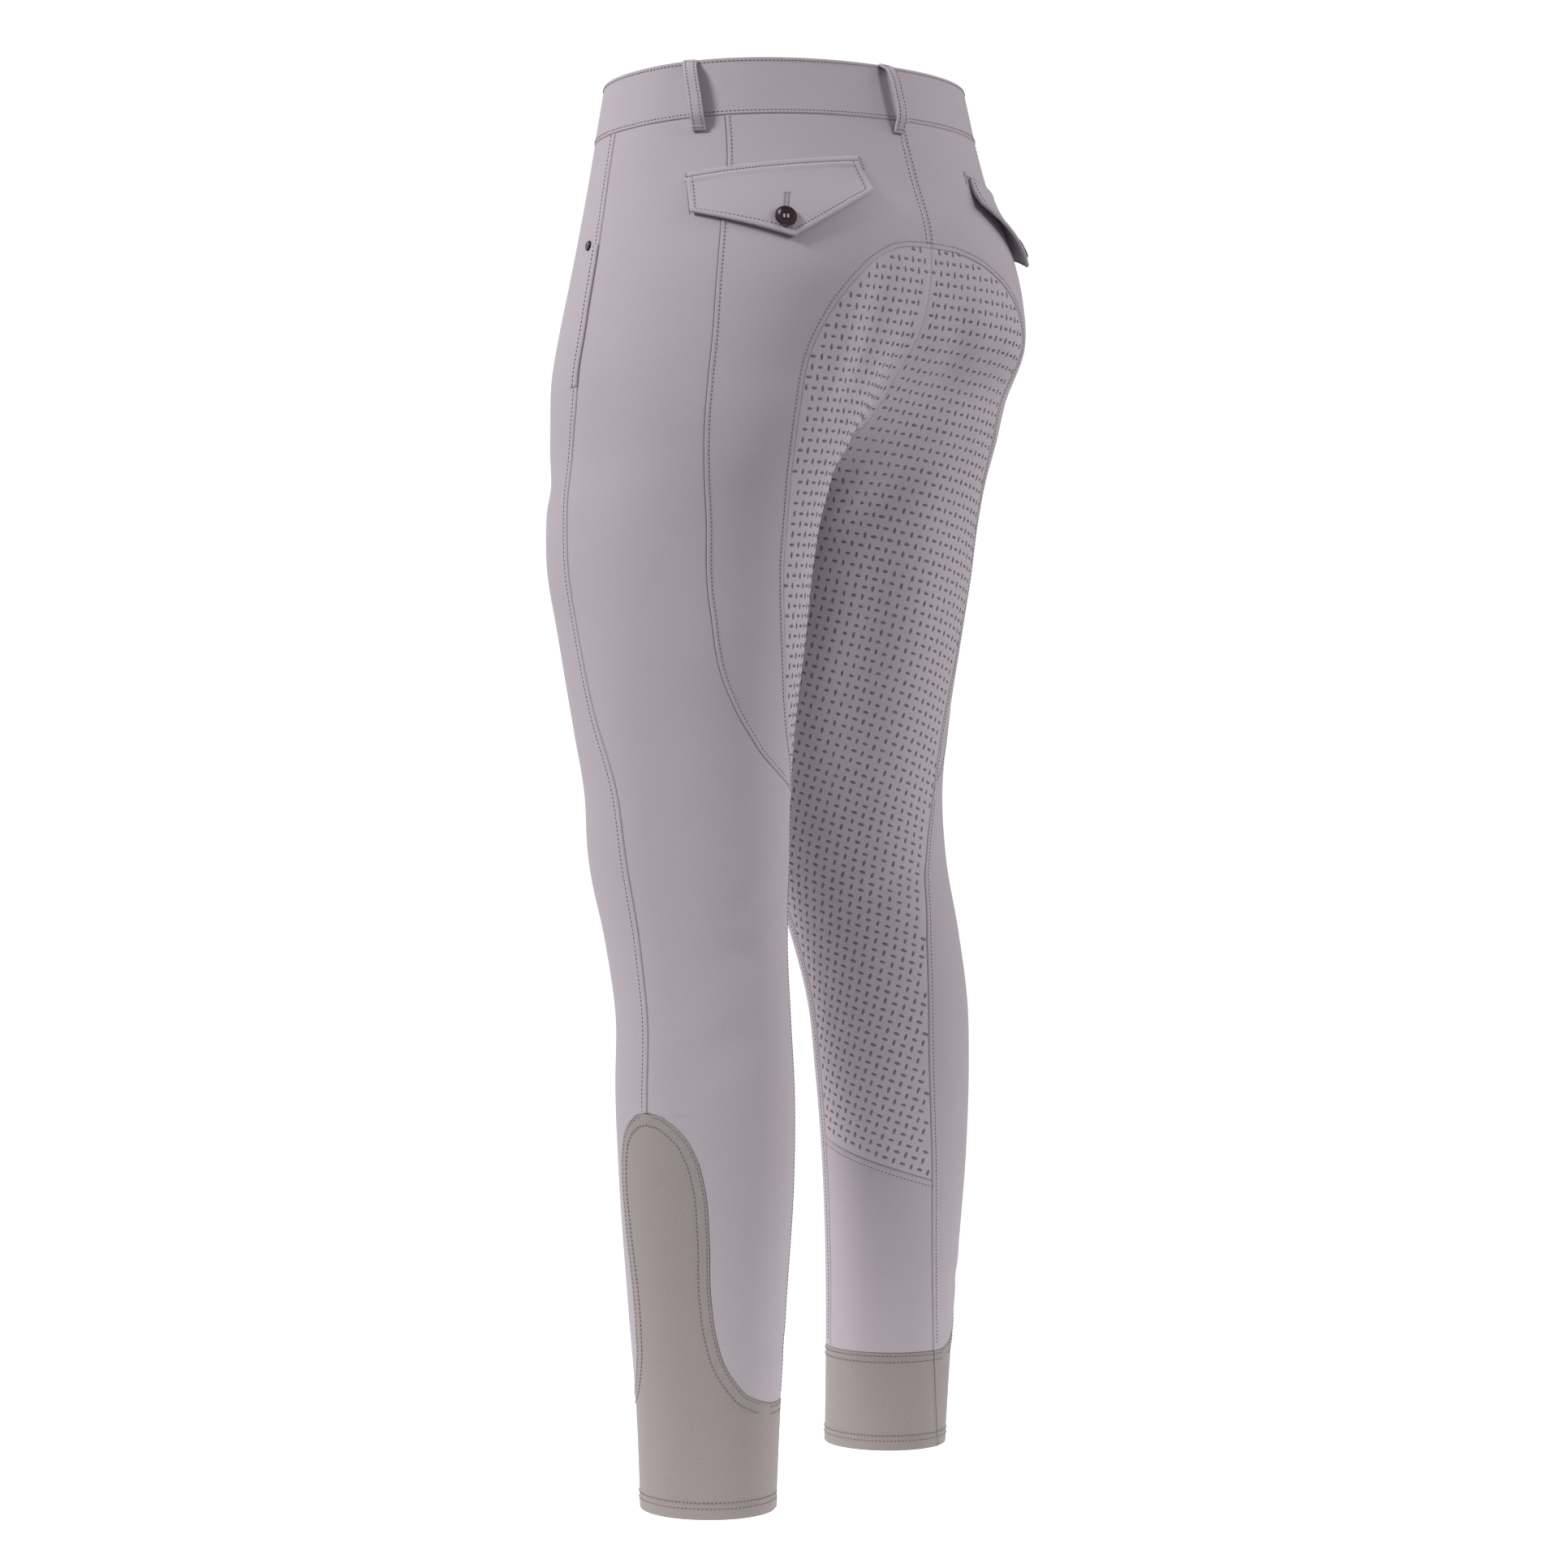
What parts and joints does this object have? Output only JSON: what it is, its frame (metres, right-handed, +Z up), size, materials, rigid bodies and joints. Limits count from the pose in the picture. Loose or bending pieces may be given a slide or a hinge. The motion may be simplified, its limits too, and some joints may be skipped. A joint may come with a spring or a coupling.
{
  "type": "riding breeches",
  "caption": "Full-seat riding breeches in worn, hollow form, with waistband, belt loops, flapped back pockets, grip seat panel and stretch cuffs.",
  "frame": {"origin": "middle of the waist, halfway up the waistband, where the wearer's waist holds the garment", "axes": "+X to the wearer's left, -Y to the front, +Z up along the body to the waist opening"},
  "size_m": [0.3754, 0.2602, 1.0177],
  "materials": {
    "cloth": "mauve-grey stretch woven cloth, matt",
    "seat_cloth": "the same cloth with a raised dark silicone grip print",
    "cuff_knit": "warm grey elastic knit, matt",
    "button": "dark plum-brown, polished",
    "rivet": "near-black, satin"
  },
  "bodies": {
    "root": {"waistband": "cloth", "fly": "cloth", "front_left": "cloth", "front_right": "cloth", "side_left": "cloth", "side_right": "cloth", "back_left": "cloth", "back_right": "cloth", "calf_left": "cloth", "calf_right": "cloth", "flap_left": "cloth", "flap_right": "cloth", "pocket_welt_left": "cloth", "pocket_welt_right": "cloth", "side_pocket_left": "cloth", "side_pocket_right": "cloth", "belt_loop_back": "cloth", "belt_loop_left": "cloth", "belt_loop_right": "cloth", "belt_loop_front_left": "cloth", "belt_loop_front_right": "cloth", "seat_left": "seat_cloth", "seat_right": "seat_cloth", "cuff_left": "cuff_knit", "cuff_right": "cuff_knit", "waist_button": "button", "flap_button_left": "button", "flap_button_right": "button", "rivet_left": "rivet", "rivet_right": "rivet"}
  },
  "joints": []
}
